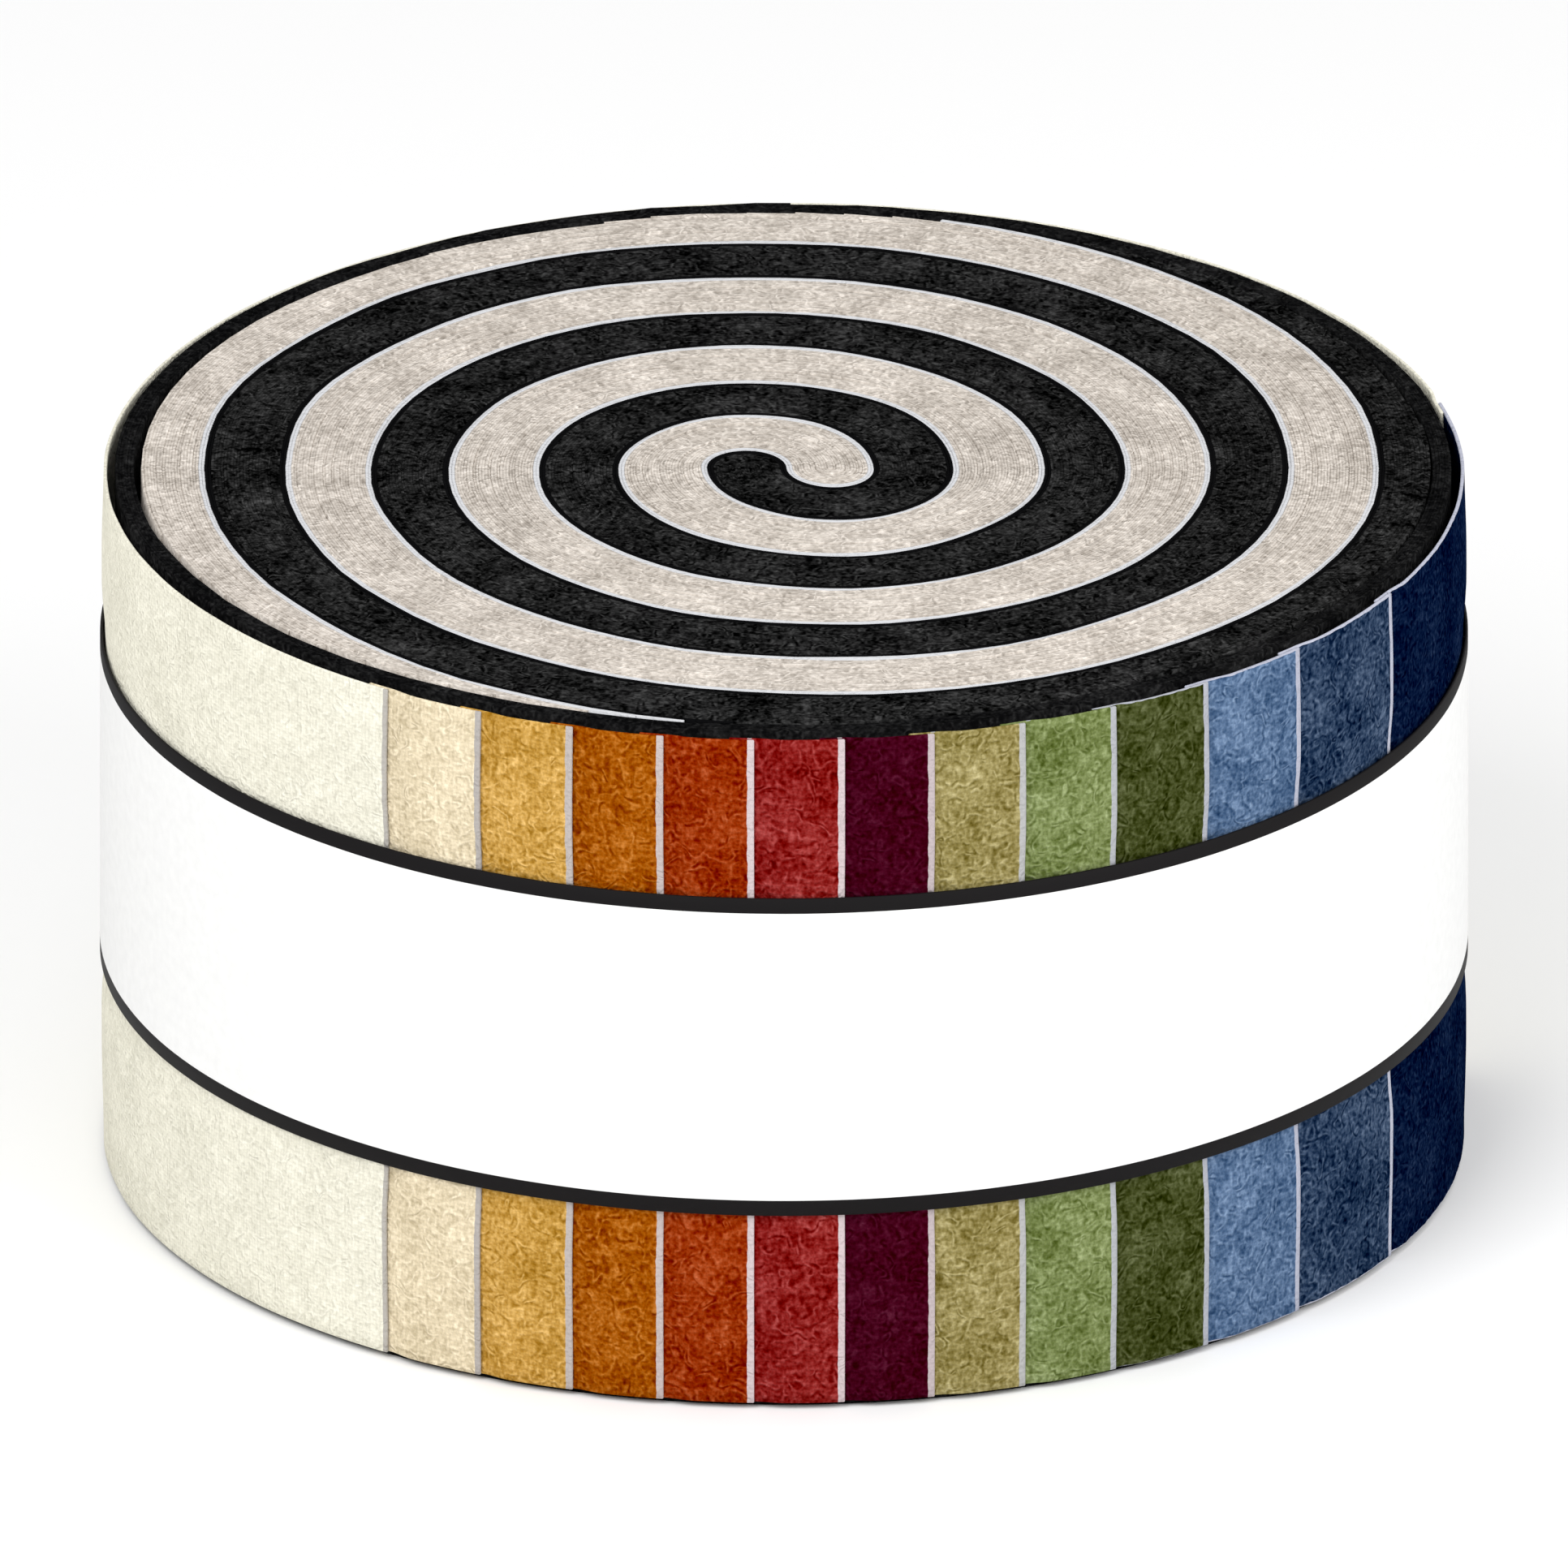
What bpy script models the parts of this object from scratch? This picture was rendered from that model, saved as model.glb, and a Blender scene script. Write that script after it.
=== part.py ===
"""Roll of precut fabric strips, standing on its end.

Light and dark strips are wound together into a two-colour spiral. Thirteen coloured
strips lie side by side round the outside, and a paper band holds them.

Metres, +Z up. The origin is the centre of the underside, +X is to the right and
+Y to the back of the roll as it is seen from the front.
"""

import math

import bmesh
import bpy

# Driving dimensions, in metres
STRIP_WIDTH = 0.0635           # a strip is cut 2.5 in wide, which is the roll's height
LIGHT_BAND = 0.00770           # thickness of the light strips' turn
DARK_BAND = 0.00685            # thickness of the dark strips' turn
NOTCH_X = 0.0002               # where the two inner ends meet
PLAN_STRETCH = 1.045           # the turns are a little looser from front to back
HALF_TURNS = 9                 # half-turns along each edge, before the rim cuts them off
GAP = 0.0003                   # room between neighbouring pieces
EDGE_ROUND = 0.0004            # cut edges of the wound strips, rounded where they lie together

BAND_RADIUS = 0.05965          # outer radius of the paper band, the roll's largest
SHEET = 0.001                  # thickness of the paper band and of one coloured strip
BAND_BOTTOM = 0.0184
BAND_TOP = 0.0483
STRIP_SETBACK = 0.0006         # the coloured strips end this far inside the wound strips
RIM_TURN = 0.0013              # thickness of the dark strips' last turn

STRIP_OUTER = BAND_RADIUS - SHEET - GAP
STRIP_INNER = STRIP_OUTER - SHEET
CORE_RADIUS = STRIP_INNER - GAP
LIGHT_LIMIT = CORE_RADIUS - RIM_TURN - GAP
LIGHT_END = math.radians(247)  # where the light strips run out, counter-clockwise from +X

# Largest distance between a curve and the straight side that stands for it
FACET_ERROR = 0.00010

# Coloured strips from left to right as seen from the front: name, how far right of the
# middle its right edge lies as a share of the strips' radius, and colour. The last one's
# edge is given by NAVY_END instead.
COLOURED_STRIPS = [
    ("strip_cream", -0.591, (0.84, 0.80, 0.66)),
    ("strip_peach", -0.452, (0.86, 0.73, 0.52)),
    ("strip_gold", -0.316, (0.62, 0.35, 0.08)),
    ("strip_amber", -0.180, (0.36, 0.084, 0.004)),
    ("strip_orange", -0.045, (0.33, 0.036, 0.003)),
    ("strip_red", 0.090, (0.24, 0.013, 0.011)),
    ("strip_burgundy", 0.225, (0.056, 0.001, 0.009)),
    ("strip_khaki", 0.360, (0.33, 0.27, 0.10)),
    ("strip_leaf", 0.495, (0.19, 0.25, 0.083)),
    ("strip_olive", 0.632, (0.061, 0.076, 0.018)),
    ("strip_sky", 0.768, (0.107, 0.175, 0.30)),
    ("strip_denim", 0.904, (0.027, 0.053, 0.102)),
    ("strip_navy", None, (0.003, 0.010, 0.040)),
]
NAVY_END = math.radians(15)    # just behind the right side, counter-clockwise from +X


def remove_everything():
    """Empty the scene of the objects that a new file starts with."""
    for thing in list(bpy.data.objects):
        bpy.data.objects.remove(thing, do_unlink=True)


def make_material(name, colour, roughness):
    """Plain cloth or paper with one colour."""
    material = bpy.data.materials.new(name)
    material.use_nodes = True
    shader = material.node_tree.nodes["Principled BSDF"]
    shader.inputs["Base Color"].default_value = (*colour, 1.0)
    shader.inputs["Roughness"].default_value = roughness
    shader.inputs["Metallic"].default_value = 0.0
    return material


def half_turn_points(half_turn, first_radius, grow, back_first):
    """Points along one half-turn of a spiral edge, counter-clockwise, with no last point.

    The turns at the back are half circles round one centre and those at the front round
    another, half a pitch apart, so that they join smoothly into a spiral.
    """
    half_pitch = (LIGHT_BAND + DARK_BAND) / 2
    at_back = back_first == (half_turn % 2 == 0)
    centre_x = NOTCH_X - DARK_BAND / 2 if at_back else NOTCH_X + LIGHT_BAND / 2
    start = 0.0 if at_back else math.pi
    radius = first_radius + half_turn * half_pitch
    steps = math.ceil(math.pi / (2 * math.acos(1 - FACET_ERROR / radius)))
    points = []
    for step in range(steps):
        angle = start + math.pi * step / steps
        x = centre_x + (radius + grow) * math.cos(angle)
        y = PLAN_STRETCH * (radius + grow) * math.sin(angle)
        points.append((x, y))
    return points


def keep_inside(point, limit):
    """Move a point that lies outside the circle of this radius onto it."""
    share = min(1.0, limit / math.hypot(*point))
    return (point[0] * share, point[1] * share)


def light_outline(grow):
    """Closed outline of the light band, seen from above, moved outwards by grow.

    It runs along the outer edge from the inner end to where the strips run out, and
    back along the inner edge.
    """
    outer_edge = []
    inner_edge = []
    for half_turn in range(HALF_TURNS):
        outer_edge += half_turn_points(half_turn, LIGHT_BAND / 2, grow, back_first=False)
        inner_edge += half_turn_points(half_turn, DARK_BAND / 2, -grow, back_first=True)
    limit = LIGHT_LIMIT + GAP / 2 + grow
    end_angle = LIGHT_END + grow / limit
    outer_edge = up_to_end(outer_edge, end_angle)
    inner_edge = up_to_end(inner_edge, end_angle)
    outline = outer_edge + inner_edge[::-1]
    return [keep_inside(point, limit) for point in outline]


def up_to_end(edge, end_angle):
    """Part of an edge up to the last time that it crosses the line where the strips end."""
    along = (math.cos(end_angle), math.sin(end_angle))
    sides = [along[0] * y - along[1] * x for x, y in edge]
    for index in range(len(edge) - 1, 0, -1):
        ahead = along[0] * edge[index][0] + along[1] * edge[index][1] > 0
        if ahead and sides[index - 1] < 0 <= sides[index]:
            share = sides[index - 1] / (sides[index - 1] - sides[index])
            before = edge[index - 1]
            after = edge[index]
            x = before[0] + share * (after[0] - before[0])
            y = before[1] + share * (after[1] - before[1])
            return edge[:index] + [(x, y)]
    return edge


def circle_outline(radius):
    """Closed circle round the roll's axis, with a corner on each half of X and of Y."""
    steps = 4 * math.ceil(math.pi / (4 * math.acos(1 - FACET_ERROR / radius)))
    points = []
    for step in range(steps):
        angle = math.tau * step / steps
        points.append((radius * math.cos(angle), radius * math.sin(angle)))
    return points


def extrude_outlines(name, outlines, bottom, top, collection):
    """Upright solid between two heights; an outline inside another is a hole in it."""
    curve = bpy.data.curves.new(name, "CURVE")
    curve.dimensions = "2D"
    curve.fill_mode = "BOTH"
    curve.extrude = (top - bottom) / 2
    for outline in outlines:
        spline = curve.splines.new("POLY")
        spline.points.add(len(outline) - 1)
        for point, (x, y) in zip(spline.points, outline):
            point.co = (x, y, 0.0, 1.0)
        spline.use_cyclic_u = True
    guide = bpy.data.objects.new(name + "_curve", curve)
    collection.objects.link(guide)
    guide.location.z = (bottom + top) / 2
    bpy.context.view_layer.update()
    evaluated = guide.evaluated_get(bpy.context.evaluated_depsgraph_get())
    mesh = bpy.data.meshes.new_from_object(evaluated)
    solid = bpy.data.objects.new(name, mesh)
    solid.matrix_world = guide.matrix_world
    collection.objects.link(solid)
    bpy.data.objects.remove(guide, do_unlink=True)
    bpy.data.curves.remove(curve)

    work = bmesh.new()
    work.from_mesh(mesh)
    bmesh.ops.remove_doubles(work, verts=work.verts, dist=0.00001)
    bmesh.ops.recalc_face_normals(work, faces=work.faces)
    work.to_mesh(mesh)
    work.free()
    return solid


def round_edges(solid, width, segments):
    """Round the edges between flat and upright faces."""
    bevel = solid.modifiers.new("rounded edges", "BEVEL")
    bevel.width = width
    bevel.segments = segments
    bevel.limit_method = "ANGLE"
    bevel.angle_limit = math.radians(40)


def finish_piece(solid, material):
    """Give a piece its material and smooth shading between its sharp edges."""
    solid.data.materials.clear()
    solid.data.materials.append(material)
    solid.data.shade_smooth()
    solid.data.set_sharp_from_angle(angle=math.radians(35))


def make_wound_strips(collection):
    """The two interleaved bands of the spiral."""
    light = extrude_outlines("light_strips", [light_outline(-GAP / 2)], 0.0, STRIP_WIDTH, collection)
    round_edges(light, EDGE_ROUND, 2)
    finish_piece(light, make_material("light cloth", (0.58, 0.52, 0.46), 0.92))

    outlines = [circle_outline(CORE_RADIUS), light_outline(GAP / 2)]
    dark = extrude_outlines("dark_strips", outlines, 0.0, STRIP_WIDTH, collection)
    round_edges(dark, EDGE_ROUND, 2)
    finish_piece(dark, make_material("dark cloth", (0.016, 0.016, 0.016), 0.92))


def arc_sheet(name, start, end, inner_radius, bottom, top, collection):
    """Thin upright sheet curved round the axis from one angle to another."""
    outer_radius = inner_radius + SHEET
    steps = max(2, math.ceil((end - start) / (2 * math.acos(1 - FACET_ERROR / outer_radius))))
    mesh = bpy.data.meshes.new(name)
    sheet = bpy.data.objects.new(name, mesh)
    collection.objects.link(sheet)
    work = bmesh.new()
    foot = []
    for step in range(steps + 1):
        angle = start + (end - start) * step / steps
        foot.append(work.verts.new((inner_radius * math.cos(angle), inner_radius * math.sin(angle), bottom)))
    rails = [work.edges.new((a, b)) for a, b in zip(foot, foot[1:])]
    raised = bmesh.ops.extrude_edge_only(work, edges=rails)
    corners = [item for item in raised["geom"] if isinstance(item, bmesh.types.BMVert)]
    bmesh.ops.translate(work, verts=corners, vec=(0.0, 0.0, top - bottom))
    work.normal_update()
    middle = work.faces[:][0]
    if middle.normal.dot(middle.calc_center_median()) < 0:
        bmesh.ops.reverse_faces(work, faces=work.faces)
    work.to_mesh(mesh)
    work.free()
    shell = sheet.modifiers.new("thickness", "SOLIDIFY")
    shell.thickness = SHEET
    shell.offset = 1.0
    round_edges(sheet, SHEET * 0.3, 1)
    return sheet


def make_coloured_strips(collection):
    """Thirteen strips side by side round the outside; the cream one goes round the back."""
    half_gap = GAP / 2 / STRIP_OUTER
    right_edge = NAVY_END - math.tau
    for name, share, colour in COLOURED_STRIPS:
        left_edge = right_edge
        if share is None:
            right_edge = NAVY_END
        else:
            right_edge = -math.pi / 2 + math.asin(share)
        strip = arc_sheet(name, left_edge + half_gap, right_edge - half_gap, STRIP_INNER,
                          STRIP_SETBACK, STRIP_WIDTH - STRIP_SETBACK, collection)
        finish_piece(strip, make_material(name + " cloth", colour, 0.9))


def make_paper_band(collection):
    """Paper ring round the middle of the roll."""
    outlines = [circle_outline(BAND_RADIUS), circle_outline(BAND_RADIUS - SHEET)]
    band = extrude_outlines("paper_band", outlines, BAND_BOTTOM, BAND_TOP, collection)
    finish_piece(band, make_material("paper", (0.90, 0.90, 0.89), 0.6))


remove_everything()
roll = bpy.data.collections.new("fabric_strip_roll")
bpy.context.scene.collection.children.link(roll)
make_wound_strips(roll)
make_coloured_strips(roll)
make_paper_band(roll)
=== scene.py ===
import math

import bpy
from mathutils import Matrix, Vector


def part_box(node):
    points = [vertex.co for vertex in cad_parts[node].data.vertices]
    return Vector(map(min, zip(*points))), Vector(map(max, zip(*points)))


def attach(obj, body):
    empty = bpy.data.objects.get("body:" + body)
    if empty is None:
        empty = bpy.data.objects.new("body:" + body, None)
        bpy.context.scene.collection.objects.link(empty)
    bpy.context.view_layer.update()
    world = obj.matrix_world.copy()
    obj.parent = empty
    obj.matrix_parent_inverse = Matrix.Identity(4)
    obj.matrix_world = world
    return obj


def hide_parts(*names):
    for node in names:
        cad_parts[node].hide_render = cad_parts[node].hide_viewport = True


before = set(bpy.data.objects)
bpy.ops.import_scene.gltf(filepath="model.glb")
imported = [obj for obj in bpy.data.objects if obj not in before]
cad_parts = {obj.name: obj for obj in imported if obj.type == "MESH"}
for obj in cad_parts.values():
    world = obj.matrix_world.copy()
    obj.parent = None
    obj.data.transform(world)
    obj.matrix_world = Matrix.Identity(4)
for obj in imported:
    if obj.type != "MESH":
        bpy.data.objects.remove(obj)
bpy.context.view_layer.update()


# Wound light strips
# Warm grey quilting cotton, many strips stacked, folded in half and wound from the
# fold outwards. The fine turns show as thin cut edges on top; the two outermost are
# painted paler, a painted highlight along the band's edges.

strip_foot, strip_head = (corner.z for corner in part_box("light_strips"))
strip_width = strip_head - strip_foot

light_band = 0.0077
dark_band = 0.00685
notch_x = 0.0002
plan_stretch = 1.045
front_centre = notch_x + light_band / 2
back_centre = notch_x - dark_band / 2
half_pitch = (light_band + dark_band) / 2
half_turns = 8
steps_a_half_turn = 40
light_folds = 15
ply_fill = 0.985
edge_rounding = 0.12
rim_inner = 0.05617
most_sway = 0.0011
sway_fades_from = 0.047
sway_ends = 0.055


def feed(tree, value, socket):
    """Link an output into a socket, or set the socket to a plain value."""
    if isinstance(value, bpy.types.NodeSocket):
        tree.links.new(value, socket)
    else:
        socket.default_value = value


def add(tree, kind, sockets=(), **settings):
    """New node with its settings and its sockets fed, given as pairs of name and value."""
    node = tree.nodes.new(kind)
    for setting, value in settings.items():
        setattr(node, setting, value)
    for key, value in sockets:
        feed(tree, value, node.inputs[key])
    return node


def work_out(tree, operation, *values):
    """Output of one Math node."""
    node = add(tree, "ShaderNodeMath", operation=operation)
    for value, socket in zip(values, node.inputs):
        feed(tree, value, socket)
    return node.outputs[0]


def choose(tree, switch, when_off, when_on):
    """Output that is one of two values, by a switch from 0 to 1."""
    node = add(tree, "ShaderNodeMix", [
        ("Factor", switch), ("A", when_off), ("B", when_on)], clamp_factor=True)
    return node.outputs["Result"]


def new_tree(name, kind, inputs, outputs):
    """Empty node tree; returns it with its input and output sockets by name."""
    tree = bpy.data.node_groups.new(name, kind)
    for label, socket_type in inputs:
        tree.interface.new_socket(label, in_out="INPUT", socket_type="NodeSocket" + socket_type)
    for label, socket_type in outputs:
        tree.interface.new_socket(label, in_out="OUTPUT", socket_type="NodeSocket" + socket_type)
    return tree, tree.nodes.new("NodeGroupInput").outputs, tree.nodes.new("NodeGroupOutput").inputs


def cloth_ply_tree():
    """One thickness of cloth standing on edge along a flat curve, its cut edges rounded."""
    profile_sides = 8
    corner = math.pi / profile_sides
    inputs = [("Path", "Geometry"), ("Thickness", "Float"), ("Rounding", "Float"), ("Strip Width", "Float")]
    tree, given, result = new_tree("cloth on edge", "GeometryNodeTree", inputs, [("Cloth", "Geometry")])
    circle = add(tree, "GeometryNodeCurvePrimitiveCircle", [("Resolution", profile_sides), ("Radius", 1.0)])
    turned = add(tree, "GeometryNodeTransform", [
        ("Geometry", circle.outputs["Curve"]), ("Rotation", (0, 0, corner))])
    position = add(tree, "GeometryNodeInputPosition").outputs[0]
    place = add(tree, "ShaderNodeSeparateXYZ", [("Vector", position)])
    half_thickness = work_out(tree, "MULTIPLY", given["Thickness"], 0.5 / math.cos(corner))
    across = work_out(tree, "MULTIPLY", place.outputs["X"], half_thickness)
    half_width = work_out(tree, "MULTIPLY", given["Strip Width"], 0.5)
    straight = work_out(tree, "SUBTRACT", half_width, given["Rounding"])
    side = work_out(tree, "SIGN", place.outputs["Y"])
    rounded = work_out(tree, "MULTIPLY", place.outputs["Y"], given["Rounding"])
    up = work_out(tree, "MULTIPLY_ADD", side, straight, rounded)
    shaped = add(tree, "ShaderNodeCombineXYZ", [("X", across), ("Y", up)])
    profile = add(tree, "GeometryNodeSetPosition", [
        ("Geometry", turned.outputs[0]), ("Position", shaped.outputs[0])])
    level = add(tree, "GeometryNodeSetCurveNormal", [("Curve", given["Path"])], mode="Z_UP")
    wall = add(tree, "GeometryNodeCurveToMesh", [
        ("Curve", level.outputs[0]), ("Profile Curve", profile.outputs[0]), ("Fill Caps", True)])
    lift = add(tree, "ShaderNodeCombineXYZ", [("Z", half_width)])
    standing = add(tree, "GeometryNodeSetPosition", [
        ("Geometry", wall.outputs[0]), ("Offset", lift.outputs[0])])
    smooth = add(tree, "GeometryNodeSetShadeSmooth", [("Geometry", standing.outputs[0])])
    tree.links.new(smooth.outputs[0], result["Cloth"])
    return tree


cloth_on_edge = cloth_ply_tree()


def uneven_heads(tree, cloth, ply, seed):
    """Move the upper cut edges up and down a little, each ply by its own amount and along it."""
    well_above_foot = 0.01
    lowest_ply = -0.00008
    highest_ply = 0.00005
    wander_height = 0.0003
    place = add(tree, "GeometryNodeInputPosition").outputs[0]
    height = add(tree, "ShaderNodeSeparateXYZ", [("Vector", place)]).outputs["Z"]
    is_head = work_out(tree, "GREATER_THAN", height, well_above_foot)
    own = add(tree, "FunctionNodeRandomValue", [
        (2, lowest_ply), (3, highest_ply), ("ID", ply), ("Seed", seed)])
    wander = add(tree, "ShaderNodeTexNoise", [
        ("Vector", place), ("W", ply), ("Scale", 90.0), ("Detail", 1.0)], noise_dimensions="4D")
    along = work_out(tree, "MULTIPLY_ADD", wander.outputs[0], wander_height, -wander_height / 2)
    total = work_out(tree, "ADD", own.outputs[1], along)
    offset = add(tree, "ShaderNodeCombineXYZ", [("Z", total)])
    moved = add(tree, "GeometryNodeSetPosition", [
        ("Geometry", cloth), ("Selection", is_head), ("Offset", offset.outputs[0])])
    return moved.outputs[0]


def stand_cloth(tree, given, path, ply):
    """Cloth on edge along a path, its upper edge uneven."""
    rounding = work_out(tree, "MULTIPLY", given["Ply Thickness"], edge_rounding)
    cloth = add(tree, "GeometryNodeGroup", [
        ("Path", path), ("Thickness", given["Ply Thickness"]), ("Rounding", rounding),
        ("Strip Width", given["Strip Width"])], node_tree=cloth_on_edge)
    return uneven_heads(tree, cloth.outputs[0], ply, given["Seed"])


def keep_value(tree, geometry, name, value, domain="POINT", data_type="FLOAT"):
    """Store a value on the geometry under a name."""
    node = add(tree, "GeometryNodeStoreNamedAttribute", [
        ("Geometry", geometry), ("Name", name), ("Value", value)], data_type=data_type, domain=domain)
    return node.outputs[0]


def kept_value(tree, name):
    """Value stored on the geometry under a name."""
    return add(tree, "GeometryNodeInputNamedAttribute", [("Name", name)], data_type="FLOAT").outputs[0]


def finish_tree(tree, geometry, material, output):
    """End a tree in plain mesh with its material."""
    real = add(tree, "GeometryNodeRealizeInstances", [("Geometry", geometry)])
    dressed = add(tree, "GeometryNodeSetMaterial", [("Geometry", real.outputs[0]), ("Material", material)])
    tree.links.new(dressed.outputs[0], output)


def straight_folds(tree, given, arcs):
    """A stepped line for each fold, which keeps its number and how far along it a point lies."""
    line = add(tree, "GeometryNodeCurvePrimitiveLine")
    count = work_out(tree, "MULTIPLY_ADD", arcs, given["Steps"], 1.0)
    stepped = add(tree, "GeometryNodeResampleCurve", [("Curve", line.outputs[0]), ("Count", count)])
    copies = add(tree, "GeometryNodeDuplicateElements", [
        ("Geometry", stepped.outputs[0]), ("Amount", given["Folds"])], domain="SPLINE")
    factor = add(tree, "GeometryNodeSplineParameter").outputs["Factor"]
    numbered = keep_value(tree, copies.outputs["Geometry"], "fold", copies.outputs["Duplicate Index"])
    return keep_value(tree, numbered, "along", factor)


def wind_up(tree, given, lines, fold, along, arcs):
    """Lay each line as its fold: half turns round two centres in turn, and a half circle between."""
    quarter = math.pi / 2
    reach = work_out(tree, "MULTIPLY", arcs, quarter)
    signed = work_out(tree, "MULTIPLY", work_out(tree, "MULTIPLY_ADD", along, 2.0, -1.0), reach)
    side = work_out(tree, "SIGN", signed)
    past_fold = work_out(tree, "SUBTRACT", work_out(tree, "ABSOLUTE", signed), quarter)
    is_wound = work_out(tree, "GREATER_THAN", past_fold, 0.0)
    wound = work_out(tree, "MAXIMUM", past_fold, 0.0)
    turn = work_out(tree, "ADD", work_out(tree, "FLOOR", work_out(tree, "DIVIDE", wound, math.pi)), 1.0)
    turn = work_out(tree, "MULTIPLY", turn, is_wound)

    away = work_out(tree, "MULTIPLY", work_out(tree, "ADD", fold, 0.5), given["Ply Pitch"])
    signed_away = work_out(tree, "MULTIPLY", away, side)
    radius_wound = work_out(tree, "MULTIPLY_ADD", turn, given["Half Pitch"], signed_away)
    angle_wound = work_out(tree, "ADD", work_out(tree, "ADD", given["Fold Start"], math.pi), wound)
    angle_fold = work_out(tree, "ADD", work_out(tree, "ADD", given["Fold Start"], quarter), signed)
    is_other = work_out(tree, "MODULO", turn, 2.0)
    radius = choose(tree, is_wound, away, radius_wound)
    angle = choose(tree, is_wound, angle_fold, angle_wound)
    centre = choose(tree, is_other, given["Fold Centre"], given["Other Centre"])

    across = work_out(tree, "MULTIPLY_ADD", work_out(tree, "COSINE", angle), radius, centre)
    deep = work_out(tree, "MULTIPLY", work_out(tree, "SINE", angle), radius)
    deep = work_out(tree, "MULTIPLY", deep, given["Stretch"])
    spot = add(tree, "ShaderNodeCombineXYZ", [("X", across), ("Y", deep)])
    laid = add(tree, "GeometryNodeSetPosition", [("Geometry", lines), ("Position", spot.outputs[0])])
    return laid.outputs[0]


def sway(tree, paths):
    """Let the inner turns wander sideways, as wound cloth does; near the rim they lie true."""
    place = add(tree, "GeometryNodeInputPosition").outputs[0]
    wobble = add(tree, "ShaderNodeTexNoise", [("Vector", place), ("Scale", 55.0), ("Detail", 0.0)])
    centred = add(tree, "ShaderNodeVectorMath", [
        (0, wobble.outputs["Color"]), (1, (0.5, 0.5, 0.5))], operation="SUBTRACT")
    out = add(tree, "ShaderNodeVectorMath", [(0, place)], operation="LENGTH").outputs["Value"]
    amount = add(tree, "ShaderNodeMapRange", [
        (0, out), (1, sway_fades_from), (2, sway_ends), (3, most_sway), (4, 0.0)]).outputs[0]
    level = add(tree, "ShaderNodeCombineXYZ", [("X", amount), ("Y", amount)])
    offset = add(tree, "ShaderNodeVectorMath", [
        (0, centred.outputs[0]), (1, level.outputs[0])], operation="MULTIPLY")
    swayed = add(tree, "GeometryNodeSetPosition", [("Geometry", paths), ("Offset", offset.outputs[0])])
    return swayed.outputs[0]


def end_at_rim(tree, given, paths, fold, along):
    """Cut off both ends of each fold from where it first passes the rim."""
    place = add(tree, "GeometryNodeInputPosition").outputs[0]
    out = add(tree, "ShaderNodeVectorMath", [(0, place)], operation="LENGTH").outputs["Value"]
    room = work_out(tree, "MULTIPLY_ADD", given["Ply Thickness"], -0.5, given["Rim Radius"])
    beyond = work_out(tree, "GREATER_THAN", out, room)
    outward = work_out(tree, "GREATER_THAN", along, 0.5)
    beyond_out = work_out(tree, "MULTIPLY", beyond, outward)
    beyond_in = work_out(tree, "SUBTRACT", beyond, beyond_out)
    count_out = add(tree, "GeometryNodeAccumulateField", [
        (0, beyond_out), ("Group ID", fold)], data_type="FLOAT")
    count_in = add(tree, "GeometryNodeAccumulateField", [
        (0, beyond_in), ("Group ID", fold)], data_type="FLOAT")
    left_in = work_out(tree, "SUBTRACT", count_in.outputs["Total"], count_in.outputs["Trailing"])
    cut_out = work_out(tree, "MULTIPLY", outward, count_out.outputs["Leading"])
    cut = work_out(tree, "GREATER_THAN", work_out(tree, "ADD", cut_out, left_in), 0.5)
    trimmed = add(tree, "GeometryNodeDeleteGeometry", [
        ("Geometry", paths), ("Selection", cut)], domain="POINT")
    return trimmed.outputs[0]


def wound_turns_tree():
    """Nested folds of cloth wound into one band of a two-colour spiral.

    Each fold runs from the rim inwards, round the fold, and outwards again. The half
    turns lie round two centres in turn, half a pitch apart, and end at the rim.
    """
    inputs = [
        ("Geometry", "Geometry"), ("Fold Centre", "Float"), ("Other Centre", "Float"),
        ("Fold Start", "Float"), ("Half Pitch", "Float"), ("Folds", "Int"), ("Ply Pitch", "Float"),
        ("Ply Thickness", "Float"), ("Half Turns", "Int"), ("Steps", "Int"), ("Stretch", "Float"),
        ("Rim Radius", "Float"), ("Strip Width", "Float"), ("Seed", "Int"), ("Material", "Material")]
    tree, given, result = new_tree("wound turns", "GeometryNodeTree", inputs, [("Geometry", "Geometry")])
    arcs = work_out(tree, "MULTIPLY_ADD", given["Half Turns"], 2.0, 1.0)
    fold = kept_value(tree, "fold")
    along = kept_value(tree, "along")
    lines = straight_folds(tree, given, arcs)
    paths = sway(tree, wind_up(tree, given, lines, fold, along, arcs))
    cloth = stand_cloth(tree, given, end_at_rim(tree, given, paths, fold, along), fold)

    shade = add(tree, "FunctionNodeRandomValue", [(2, 0.0), (3, 1.0), ("ID", fold), ("Seed", given["Seed"])])
    cloth = keep_value(tree, cloth, "ply_shade", shade.outputs[1])
    # The last two folds, along both sides of the band, are marked for the painted edge colour: a painted
    # highlight on the light band, painted shade on the dark band.
    before_last_two = work_out(tree, "SUBTRACT", given["Folds"], 2.5)
    is_painted_edge_ply = work_out(tree, "GREATER_THAN", fold, before_last_two)
    cloth = keep_value(tree, cloth, "outer_ply_painted_light", is_painted_edge_ply)
    finish_tree(tree, cloth, given["Material"], result["Geometry"])
    return tree


wound_turns = wound_turns_tree()


def linear(red, green, blue):
    """Colour for a shader from its 0 to 255 screen values."""
    def channel(value):
        share = value / 255
        return share / 12.92 if share <= 0.04045 else ((share + 0.055) / 1.055) ** 2.4
    return (channel(red), channel(green), channel(blue), 1.0)


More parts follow.
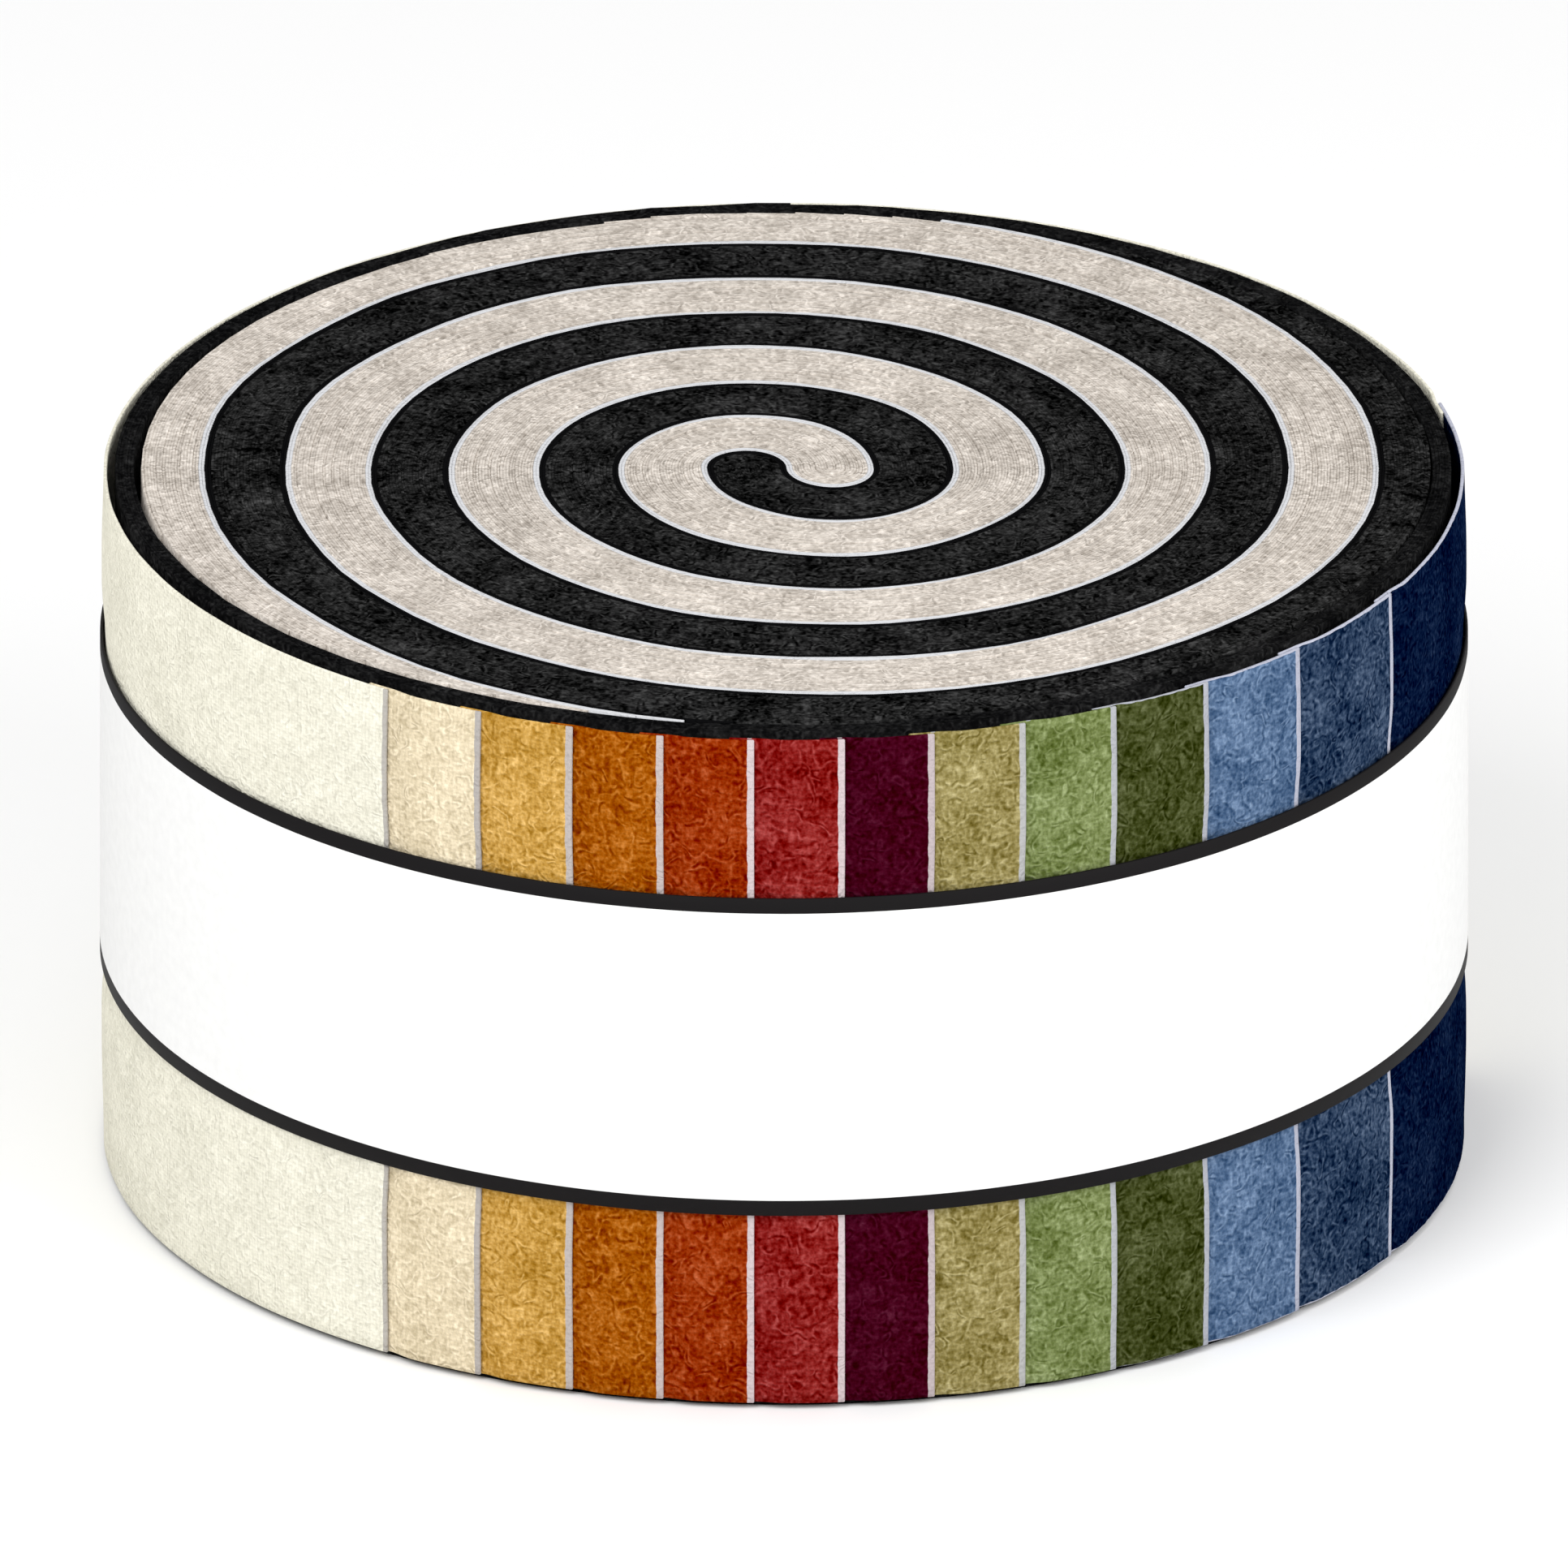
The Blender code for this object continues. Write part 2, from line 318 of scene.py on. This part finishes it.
def tone_on_tone_group():
    """Tone-on-tone print: short curling strokes, darker and lighter than their ground."""
    curl_rate = 30.0
    stroke_strength = 0.55
    cloud_strength = 1.6
    grain_strength = 2.2
    screen_gamma = 2.2
    darkest = 0.005
    inputs = [("Vector", "Vector"), ("Ground", "Color"), ("Contrast", "Float")]
    outputs = [("Color", "Color"), ("Height", "Float")]
    tree, given, result = new_tree("tone on tone print", "ShaderNodeTree", inputs, outputs)
    flow = add(tree, "ShaderNodeTexNoise", [
        ("Vector", given["Vector"]), ("Scale", 520.0), ("Detail", 1.0), ("Distortion", 0.7)])
    curls = work_out(tree, "SINE", work_out(tree, "MULTIPLY", flow.outputs[0], curl_rate))
    breaks = add(tree, "ShaderNodeTexNoise", [
        ("Vector", given["Vector"]), ("Scale", 1400.0), ("Detail", 0.0)])
    kept = add(tree, "ShaderNodeMapRange", [(0, breaks.outputs[0]), (1, 0.36), (2, 0.6)]).outputs[0]
    strokes = work_out(tree, "MULTIPLY", curls, kept)
    clouds = add(tree, "ShaderNodeTexNoise", [
        ("Vector", given["Vector"]), ("Scale", 190.0), ("Detail", 2.0)])
    grain = add(tree, "ShaderNodeTexNoise", [
        ("Vector", given["Vector"]), ("Scale", 2700.0), ("Detail", 1.0)])
    cloudy = work_out(tree, "MULTIPLY_ADD", clouds.outputs[0], cloud_strength, -cloud_strength / 2)
    grainy = work_out(tree, "MULTIPLY_ADD", grain.outputs[0], grain_strength, -grain_strength / 2)
    ground_change = work_out(tree, "ADD", cloudy, grainy)
    change = work_out(tree, "MULTIPLY_ADD", strokes, stroke_strength, ground_change)
    tone = work_out(tree, "MULTIPLY", change, given["Contrast"])

    seen = add(tree, "ShaderNodeGamma", [("Color", given["Ground"]), ("Gamma", 1 / screen_gamma)])
    lighter = add(tree, "ShaderNodeCombineXYZ", [("X", tone), ("Y", tone), ("Z", tone)])
    shifted = add(tree, "ShaderNodeVectorMath", [
        (0, seen.outputs[0]), (1, lighter.outputs[0])], operation="ADD")
    floored = add(tree, "ShaderNodeVectorMath", [
        (0, shifted.outputs[0]), (1, (darkest, darkest, darkest))], operation="MAXIMUM")
    printed = add(tree, "ShaderNodeGamma", [("Color", floored.outputs[0]), ("Gamma", screen_gamma)])
    tree.links.new(printed.outputs[0], result["Color"])
    height = work_out(tree, "ADD", strokes, grainy)
    tree.links.new(height, result["Height"])
    return tree


tone_on_tone = tone_on_tone_group()


def new_finish(name, roughness, gloss):
    """New material, its node tree and its shader, with its roughness and gloss set."""
    material = bpy.data.materials.new(name)
    material.use_nodes = True
    shader = material.node_tree.nodes["Principled BSDF"]
    shader.inputs["Roughness"].default_value = roughness
    shader.inputs["Specular IOR Level"].default_value = gloss
    return material, material.node_tree, shader


def mix_colours(tree, factor, first, second):
    """Output of a mix of two colours."""
    node = add(tree, "ShaderNodeMix", [("Factor", factor), (6, first), (7, second)], data_type="RGBA")
    return node.outputs[2]


def roughen(tree, shader, height, strength, depth):
    """Bump the shader's surface by a height."""
    bump = add(tree, "ShaderNodeBump", [("Height", height), ("Strength", strength), ("Distance", depth)])
    tree.links.new(bump.outputs[0], shader.inputs["Normal"])


def wound_cloth_material(name, ground, outer_ply_painted_light, contrast):
    """Cut edges of cotton strips seen end on, each strip a shade of its own; the outermost plies take a
    second, painted colour: a painted highlight on light cloth, painted shade on dark cloth.
    """
    strip_variation = 0.06
    material, tree, shader = new_finish(name, 0.95, 0.0)
    place = add(tree, "ShaderNodeTexCoord").outputs["Object"]
    printed = add(tree, "ShaderNodeGroup", [
        ("Vector", place), ("Ground", ground), ("Contrast", contrast)], node_tree=tone_on_tone)
    shade = add(tree, "ShaderNodeAttribute", attribute_name="ply_shade").outputs["Fac"]
    value = work_out(tree, "MULTIPLY_ADD", shade, strip_variation, 1 - strip_variation / 2)
    shaded = add(tree, "ShaderNodeHueSaturation", [("Color", printed.outputs["Color"]), ("Value", value)])
    # The marked outermost plies take the second colour given, which is painted light: a highlight on light
    # cloth and shade on dark cloth.
    outer = add(tree, "ShaderNodeAttribute", attribute_name="outer_ply_painted_light").outputs["Fac"]
    tree.links.new(mix_colours(tree, outer, shaded.outputs[0], outer_ply_painted_light), shader.inputs["Base Color"])
    roughen(tree, shader, printed.outputs["Height"], 0.5, 0.0001)
    return material


def freeze(piece):
    """Give a piece its evaluated mesh, and drop its modifiers."""
    depsgraph = bpy.context.evaluated_depsgraph_get()
    mesh = bpy.data.meshes.new_from_object(
        piece.evaluated_get(depsgraph), preserve_all_data_layers=True, depsgraph=depsgraph)
    piece.modifiers.clear()
    piece.data = mesh


def make_piece(name, tree, values):
    """Plain mesh object from a tree and its named values."""
    piece = bpy.data.objects.new(name, bpy.data.meshes.new(name + " start"))
    bpy.context.scene.collection.objects.link(piece)
    modifier = piece.modifiers.new("shape", "NODES")
    modifier.node_group = tree
    for item in tree.interface.items_tree:
        if item.in_out == "INPUT" and item.name in values:
            modifier[item.identifier] = values[item.name]
    freeze(piece)
    return piece


both_bands = {
    "Half Pitch": half_pitch, "Half Turns": half_turns, "Steps": steps_a_half_turn, "Stretch": plan_stretch,
    "Rim Radius": rim_inner, "Strip Width": strip_width}

# The strips are cut 1.12 m long, and the band's turns take up 18 of them.
light_ply = light_band / (2 * light_folds)
# The second colour is a painted highlight on the light band's two outermost plies.
light_cloth = wound_cloth_material("light cloth", linear(192, 184, 175), linear(200, 201, 204), 0.14)
light_roll = make_piece("light_strip_turns", wound_turns, {
    **both_bands, "Fold Centre": front_centre, "Other Centre": back_centre, "Fold Start": math.pi,
    "Folds": light_folds, "Ply Pitch": light_ply, "Ply Thickness": light_ply * ply_fill, "Seed": 3,
    "Material": light_cloth})
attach(light_roll, "root")
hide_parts("light_strips")


# Wound dark strips
# Near-black cotton, 15 more cuts, folded and wound together with the light strips, half
# a pitch on.

dark_folds = 13
dark_ply = dark_band / (2 * dark_folds)
# The second colour is painted shade: the dark band's two outermost plies are painted blacker beside the light
# band.
dark_cloth = wound_cloth_material("dark cloth", linear(29, 29, 29), linear(13, 13, 14), 0.13)
dark_roll = make_piece("dark_strip_turns", wound_turns, {
    **both_bands, "Fold Centre": back_centre, "Other Centre": front_centre, "Fold Start": 0.0,
    "Folds": dark_folds, "Ply Pitch": dark_ply, "Ply Thickness": dark_ply * ply_fill, "Seed": 5,
    "Material": dark_cloth})
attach(dark_roll, "root")
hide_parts("dark_strips")


# Rim turns
# The end of the dark strips, a few thin turns wound over both bands. They close the
# roll at its rim and stand a little proud of the coloured strips outside them.

rim_outer = 0.058
rim_last_end = math.radians(70)


def rim_turns_tree():
    """Cloth on edge along a flat spiral."""
    inputs = [
        ("Geometry", "Geometry"), ("Turns", "Float"), ("Inner Radius", "Float"), ("Outer Radius", "Float"),
        ("Ply Thickness", "Float"), ("Strip Width", "Float"), ("End Angle", "Float"), ("Seed", "Int"),
        ("Material", "Material")]
    tree, given, result = new_tree("rim turns", "GeometryNodeTree", inputs, [("Geometry", "Geometry")])
    spiral = add(tree, "GeometryNodeCurveSpiral", [
        ("Resolution", 120), ("Rotations", given["Turns"]), ("Start Radius", given["Inner Radius"]),
        ("End Radius", given["Outer Radius"]), ("Height", 0.0)])
    turn = add(tree, "ShaderNodeCombineXYZ", [("Z", given["End Angle"])])
    turned = add(tree, "GeometryNodeTransform", [
        ("Geometry", spiral.outputs[0]), ("Rotation", turn.outputs[0])])
    cloth = stand_cloth(tree, given, turned.outputs[0], 0)
    cloth = keep_value(tree, cloth, "ply_shade", 0.3)
    # The rim turns are painted 0.6 of the way to the dark band's painted-shade edge colour, so they show
    # painted darker than the band.
    cloth = keep_value(tree, cloth, "outer_ply_painted_light", 0.6)
    finish_tree(tree, cloth, given["Material"], result["Geometry"])
    return tree


rim_start = rim_inner + dark_ply / 2
rim_end = rim_outer - dark_ply / 2
rim_roll = make_piece("dark_rim_turns", rim_turns_tree(), {
    "Turns": (rim_end - rim_start) / dark_ply, "Inner Radius": rim_start, "Outer Radius": rim_end,
    "Ply Thickness": dark_ply * ply_fill, "Strip Width": strip_width, "End Angle": rim_last_end, "Seed": 8,
    "Material": dark_cloth})
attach(rim_roll, "root")
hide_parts("dark_strips")


# Coloured strips
# Thirteen cotton strips round the outside. Each one's near end is tucked under the strip
# before it, and its far end lies on top, where the pale raw edge shows as an upright line.

# The columns are the strip's name, its far end's place in mm to the right of the middle, the
# ground's colour, the print's strength, the raw edge's colour, and the edge's width in mm at
# the far end and along the head and foot, where none shows below zero but a thread or two.
coloured_strips = [
    ("cream", -34.5, (219, 216, 200), 0.06, (170, 166, 160), 0.40, -0.10),
    ("peach", -26.4, (210, 196, 167), 0.11, (165, 160, 156), 0.50, -0.10),
    ("gold", -18.4, (179, 138, 66), 0.15, (172, 164, 160), 0.60, -0.10),
    ("amber", -10.5, (142, 72, 4), 0.15, (178, 166, 164), 0.60, -0.10),
    ("orange", -2.6, (131, 42, 5), 0.14, (190, 176, 178), 0.60, -0.10),
    ("red", 5.3, (119, 26, 24), 0.14, (190, 176, 178), 0.60, -0.05),
    ("burgundy", 13.1, (56, 2, 19), 0.07, (176, 164, 166), 0.60, -0.05),
    ("khaki", 21.0, (133, 122, 75), 0.16, (166, 166, 166), 0.60, -0.05),
    ("leaf", 28.9, (106, 118, 71), 0.14, (162, 164, 168), 0.60, -0.05),
    ("olive", 36.9, (58, 64, 30), 0.12, (162, 164, 172), 0.60, 0.05),
    ("sky", 44.8, (77, 99, 129), 0.15, (168, 170, 184), 0.60, 0.10),
    ("denim", 52.8, (39, 55, 79), 0.16, (176, 178, 192), 0.60, 0.14),
    ("navy", None, (4, 17, 45), 0.09, (176, 178, 192), 0.60, 0.14),
]
navy_end = math.radians(15)
cloth_thickness = 0.0003
tucked_radius = 0.05845
lap_rise = 0.00035
tuck = 0.0022
rise = 0.0028
bulge = 0.0003
lapped_radius = tucked_radius + lap_rise + bulge
rim_stands_proud = 0.0004
column_width = 0.0007
thread_pitch = 0.00037
strip_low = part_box("strip_cream")[0].z
strip_high = strip_head - rim_stands_proud
band_low, band_high = (corner.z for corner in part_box("paper_band"))


def wrapped_sheet_tree():
    """Sheet wrapped round the roll, lying low at its near end and on top at its far end.

    It is drawn in between the band's edges, swells a little past them and settles again
    towards its head and foot. Its UV map is in metres, across from the far end and up
    from the surface.
    """
    swollen_at = 0.005
    settles_from = 0.007
    settled_at = 0.017
    settled_share = 0.4
    ruffle_scale = 7.0
    ruffles_up = 12.0
    inputs = [
        ("Geometry", "Geometry"), ("Start Angle", "Float"), ("End Angle", "Float"), ("Low Radius", "Float"),
        ("Rise", "Float"), ("Rise From", "Float"), ("Rise To", "Float"), ("Foot", "Float"), ("Head", "Float"),
        ("Band Foot", "Float"), ("Band Head", "Float"), ("Bulge", "Float"), ("Ruffle", "Float"),
        ("Columns", "Int"), ("Rows", "Int"), ("Seed", "Int"), ("Material", "Material")]
    tree, given, result = new_tree("wrapped sheet", "GeometryNodeTree", inputs, [("Geometry", "Geometry")])
    grid = add(tree, "GeometryNodeMeshGrid", [
        ("Size X", 1.0), ("Size Y", 1.0), ("Vertices X", given["Columns"]), ("Vertices Y", given["Rows"])])
    place = add(tree, "GeometryNodeInputPosition").outputs[0]
    share = add(tree, "ShaderNodeSeparateXYZ", [("Vector", place)])
    across = work_out(tree, "ADD", share.outputs["X"], 0.5)
    up = work_out(tree, "ADD", share.outputs["Y"], 0.5)
    sweep = work_out(tree, "SUBTRACT", given["End Angle"], given["Start Angle"])
    turned = work_out(tree, "MULTIPLY", across, sweep)
    run = work_out(tree, "MULTIPLY", turned, given["Low Radius"])
    height = work_out(tree, "SUBTRACT", given["Head"], given["Foot"])
    raised = work_out(tree, "MULTIPLY_ADD", up, height, given["Foot"])

    length = work_out(tree, "MULTIPLY", sweep, given["Low Radius"])
    map_place = add(tree, "ShaderNodeCombineXYZ", [
        ("X", work_out(tree, "SUBTRACT", length, run)), ("Y", raised)])
    geometry = keep_value(tree, grid.outputs["Mesh"], "UVMap", map_place.outputs[0], "CORNER", "FLOAT2")

    lifted = add(tree, "ShaderNodeMapRange", [
        (0, run), (1, given["Rise From"]), (2, given["Rise To"])], interpolation_type="SMOOTHSTEP").outputs[0]
    radius = work_out(tree, "MULTIPLY_ADD", lifted, given["Rise"], given["Low Radius"])
    above = work_out(tree, "SUBTRACT", raised, given["Band Head"])
    below = work_out(tree, "SUBTRACT", given["Band Foot"], raised)
    free = work_out(tree, "MAXIMUM", work_out(tree, "MAXIMUM", above, below), 0.0)
    swell = add(tree, "ShaderNodeMapRange", [
        (0, free), (1, 0.0), (2, swollen_at)], interpolation_type="SMOOTHSTEP").outputs[0]
    settle = add(tree, "ShaderNodeMapRange", [
        (0, free), (1, settles_from), (2, settled_at), (3, 1.0), (4, settled_share)],
        interpolation_type="SMOOTHSTEP").outputs[0]
    swelling = work_out(tree, "MULTIPLY", work_out(tree, "MULTIPLY", swell, settle), given["Bulge"])
    radius = work_out(tree, "ADD", radius, swelling)

    angle = work_out(tree, "ADD", turned, given["Start Angle"])
    around = add(tree, "ShaderNodeCombineXYZ", [
        ("X", work_out(tree, "COSINE", angle)), ("Y", work_out(tree, "SINE", angle)),
        ("Z", work_out(tree, "MULTIPLY", raised, ruffles_up))])
    ruffles = add(tree, "ShaderNodeTexNoise", [
        ("Vector", around.outputs[0]), ("W", given["Seed"]), ("Scale", ruffle_scale), ("Detail", 2.0)],
        noise_dimensions="4D")
    ruffle = work_out(tree, "MULTIPLY", work_out(tree, "SUBTRACT", ruffles.outputs[0], 0.5), given["Ruffle"])
    radius = work_out(tree, "ADD", radius, ruffle)
    spot = add(tree, "ShaderNodeCombineXYZ", [
        ("X", work_out(tree, "MULTIPLY", work_out(tree, "COSINE", angle), radius)),
        ("Y", work_out(tree, "MULTIPLY", work_out(tree, "SINE", angle), radius)),
        ("Z", raised)])
    wrapped = add(tree, "GeometryNodeSetPosition", [("Geometry", geometry), ("Position", spot.outputs[0])])
    smooth = add(tree, "GeometryNodeSetShadeSmooth", [("Geometry", wrapped.outputs[0])])
    finish_tree(tree, smooth.outputs[0], given["Material"], result["Geometry"])
    return tree


wrapped_sheet = wrapped_sheet_tree()


def thicken(piece, thickness):
    """Give an open sheet its thickness on the inner side, and soften its edges."""
    wall = piece.modifiers.new("thickness", "SOLIDIFY")
    wall.thickness = thickness
    wall.offset = -1.0
    soften = piece.modifiers.new("soft edges", "BEVEL")
    soften.width = thickness * 0.25
    soften.segments = 1
    soften.limit_method = "ANGLE"
    soften.angle_limit = math.radians(50)
    freeze(piece)


def weave_group():
    """Plain weave: threads over and under each other, as height."""
    inputs = [("Vector", "Vector"), ("Pitch", "Float")]
    tree, given, result = new_tree("plain weave", "ShaderNodeTree", inputs, [("Height", "Float")])
    place = add(tree, "ShaderNodeSeparateXYZ", [("Vector", given["Vector"])])
    scale = work_out(tree, "DIVIDE", math.pi, given["Pitch"])
    warp = work_out(tree, "SINE", work_out(tree, "MULTIPLY", place.outputs["X"], scale))
    weft = work_out(tree, "SINE", work_out(tree, "MULTIPLY", place.outputs["Y"], scale))
    over = work_out(tree, "GREATER_THAN", work_out(tree, "MULTIPLY", warp, weft), 0.0)
    height = choose(tree, over, work_out(tree, "ABSOLUTE", warp), work_out(tree, "ABSOLUTE", weft))
    tree.links.new(height, result["Height"])
    return tree


def raw_edge_group():
    """Where a strip's pale raw edges show: its far end, and its cut head and foot."""
    fray_depth = 0.00024
    inputs = [
        ("Vector", "Vector"), ("End Width", "Float"), ("Cut Width", "Float"), ("Foot", "Float"),
        ("Head", "Float")]
    tree, given, result = new_tree("raw edges", "ShaderNodeTree", inputs, [("Mask", "Float")])
    place = add(tree, "ShaderNodeSeparateXYZ", [("Vector", given["Vector"])])
    fray = add(tree, "ShaderNodeTexNoise", [("Vector", given["Vector"]), ("Scale", 900.0), ("Detail", 1.0)])
    uneven = work_out(tree, "MULTIPLY_ADD", fray.outputs[0], fray_depth, -fray_depth / 2)
    far = work_out(tree, "ADD", place.outputs["X"], uneven)
    at_end = work_out(tree, "LESS_THAN", far, given["End Width"])
    up = work_out(tree, "ADD", place.outputs["Y"], uneven)
    low = work_out(tree, "SUBTRACT", up, given["Foot"])
    high = work_out(tree, "SUBTRACT", given["Head"], up)
    at_cut = work_out(tree, "LESS_THAN", work_out(tree, "MINIMUM", low, high), given["Cut Width"])
    tree.links.new(work_out(tree, "MAXIMUM", at_end, at_cut), result["Mask"])
    return tree


plain_weave = weave_group()
raw_edges = raw_edge_group()


def strip_cloth_material(name, ground, contrast, edge, end_width, cut_width):
    """Cotton with a tone-on-tone print, its weave as bumps and as painted shade between the threads, and pale
    raw edges.
    """
    painted_weave_shade = 0.12
    darkest_painted_weave_shade = 0.93
    material, tree, shader = new_finish(name, 0.92, 0.0)
    coordinates = add(tree, "ShaderNodeTexCoord")
    printed = add(tree, "ShaderNodeGroup", [
        ("Vector", coordinates.outputs["Object"]), ("Ground", ground), ("Contrast", contrast)],
        node_tree=tone_on_tone)
    threads = add(tree, "ShaderNodeGroup", [
        ("Vector", coordinates.outputs["UV"]), ("Pitch", thread_pitch)], node_tree=plain_weave)
    edges = add(tree, "ShaderNodeGroup", [
        ("Vector", coordinates.outputs["UV"]), ("End Width", end_width), ("Cut Width", cut_width),
        ("Foot", strip_low), ("Head", strip_high)], node_tree=raw_edges)
    # Painted shade and light from the weave: the colour is darker where the threads dip and a little lighter
    # on their tops.
    value = work_out(tree, "MULTIPLY_ADD", threads.outputs["Height"], painted_weave_shade, darkest_painted_weave_shade)
    print_with_weave_shade = add(tree, "ShaderNodeHueSaturation", [("Color", printed.outputs["Color"]), ("Value", value)])
    edged = mix_colours(tree, edges.outputs["Mask"], print_with_weave_shade.outputs[0], edge)
    tree.links.new(edged, shader.inputs["Base Color"])
    height = work_out(tree, "MULTIPLY_ADD", threads.outputs["Height"], 0.5, printed.outputs["Height"])
    roughen(tree, shader, height, 0.5, 0.00012)
    return material


far_angle = navy_end - math.tau
for number, row in enumerate(coloured_strips):
    colour_name, end_place, ground, contrast, edge, end_width, cut_width = row
    node = "strip_" + colour_name
    near_angle = far_angle - tuck / tucked_radius
    far_angle = navy_end
    if end_place is not None:
        far_angle = -math.pi / 2 + math.asin(end_place / 1000 / lapped_radius)
    length = (far_angle - near_angle) * tucked_radius
    cloth = strip_cloth_material(colour_name + " cloth", linear(*ground), contrast, linear(*edge),
                                 end_width / 1000, cut_width / 1000)
    strip = make_piece(node + "_cloth", wrapped_sheet, {
        "Start Angle": near_angle, "End Angle": far_angle, "Low Radius": tucked_radius, "Rise": lap_rise,
        "Rise From": tuck, "Rise To": tuck + rise, "Foot": strip_low, "Head": strip_high,
        "Band Foot": band_low, "Band Head": band_high, "Bulge": bulge, "Ruffle": 0.0002,
        "Columns": max(30, round(length / column_width)), "Rows": 56, "Seed": number, "Material": cloth})
    thicken(strip, cloth_thickness)
    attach(strip, "root")
    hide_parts(node)


# Paper band
# A strip of smooth white paper with a thin black line printed along each edge, wrapped
# tightly round the middle and glued where its far end laps over its start at the back.

paper_thickness = 0.00025
paper_radius = 0.05925
paper_lap = 0.012
paper_lap_gap = 0.00005
paper_lap_rises_over = 0.004
paper_start = math.radians(75)
upper_line = 0.0014
lower_line = 0.00145


def paper_material():
    """Smooth paper with faint fibres and two printed lines."""
    material, tree, shader = new_finish("paper", 0.6, 0.1)
    place = add(tree, "ShaderNodeTexCoord").outputs["UV"]
    up = add(tree, "ShaderNodeSeparateXYZ", [("Vector", place)]).outputs["Y"]
    noise = add(tree, "ShaderNodeTexNoise", [("Vector", place), ("Scale", 900.0), ("Detail", 4.0)])
    fibres = noise.outputs[0]
    in_upper = work_out(tree, "GREATER_THAN", up, band_high - upper_line)
    in_lower = work_out(tree, "LESS_THAN", up, band_low + lower_line)
    line = work_out(tree, "MAXIMUM", in_upper, in_lower)
    white = mix_colours(tree, fibres, linear(221, 221, 220), linear(235, 235, 234))
    tree.links.new(mix_colours(tree, line, white, linear(17, 15, 16)), shader.inputs["Base Color"])
    roughen(tree, shader, fibres, 0.15, 0.00005)
    return material


whole_turn = math.tau * paper_radius
band = make_piece("paper_band_sheet", wrapped_sheet, {
    "Start Angle": paper_start, "End Angle": paper_start + math.tau + paper_lap / paper_radius,
    "Low Radius": paper_radius, "Rise": paper_thickness + paper_lap_gap,
    "Rise From": whole_turn - paper_lap_rises_over, "Rise To": whole_turn, "Foot": band_low, "Head": band_high,
    "Band Foot": band_low, "Band Head": band_high, "Bulge": 0.0, "Ruffle": 0.0001, "Columns": 260, "Rows": 16,
    "Seed": 40, "Material": paper_material()})
thicken(band, paper_thickness)
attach(band, "root")
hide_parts("paper_band")


# Floor, light and camera
# Plain pale floor and soft light; the camera looks on without perspective, as the drawing does.

photo_side = 1932
metres_a_pixel = 0.0000703
camera_height = 23.3
top_centre_row = 576

floor_mesh = bpy.data.meshes.new("floor")
floor_mesh.from_pydata([(-3, -3, 0), (3, -3, 0), (3, 3, 0), (-3, 3, 0)], [], [(0, 1, 2, 3)])
floor = bpy.data.objects.new("floor", floor_mesh)
bpy.context.scene.collection.objects.link(floor)
floor_paint = bpy.data.materials.new("floor paint")
floor_paint.use_nodes = True
floor_shader = floor_paint.node_tree.nodes["Principled BSDF"]
floor_shader.inputs["Base Color"].default_value = (0.92, 0.92, 0.92, 1.0)
floor_shader.inputs["Roughness"].default_value = 0.9
floor_mesh.materials.append(floor_paint)

world = bpy.data.worlds.new("studio")
world.use_nodes = True
world.node_tree.nodes["Background"].inputs["Color"].default_value = (1.0, 1.0, 1.0, 1.0)
world.node_tree.nodes["Background"].inputs["Strength"].default_value = 0.75
bpy.context.scene.world = world


def soft_light(name, place, size, power):
    """Square area light that faces the roll."""
    lamp = bpy.data.lights.new(name, "AREA")
    lamp.size = size
    lamp.energy = power
    light = bpy.data.objects.new(name, lamp)
    bpy.context.scene.collection.objects.link(light)
    light.location = place
    aim = (light.location * -1).to_track_quat("-Z", "Y")
    light.rotation_euler = aim.to_euler()


soft_light("key light", (-0.3, -0.5, 0.6), 0.5, 3.6)
soft_light("fill light", (0.5, -0.4, 0.4), 0.5, 2.4)

lens = bpy.data.cameras.new("camera")
lens.type = "ORTHO"
lens.ortho_scale = photo_side * metres_a_pixel
camera = bpy.data.objects.new("camera", lens)
bpy.context.scene.collection.objects.link(camera)
tilt = math.radians(camera_height)
aim_height = strip_width - (photo_side / 2 - top_centre_row) * metres_a_pixel / math.cos(tilt)
camera.location = (0.0, -math.cos(tilt), aim_height + math.sin(tilt))
camera.rotation_euler = (math.pi / 2 - tilt, 0.0, 0.0)
bpy.context.scene.camera = camera
bpy.context.scene.view_settings.view_transform = "Standard"
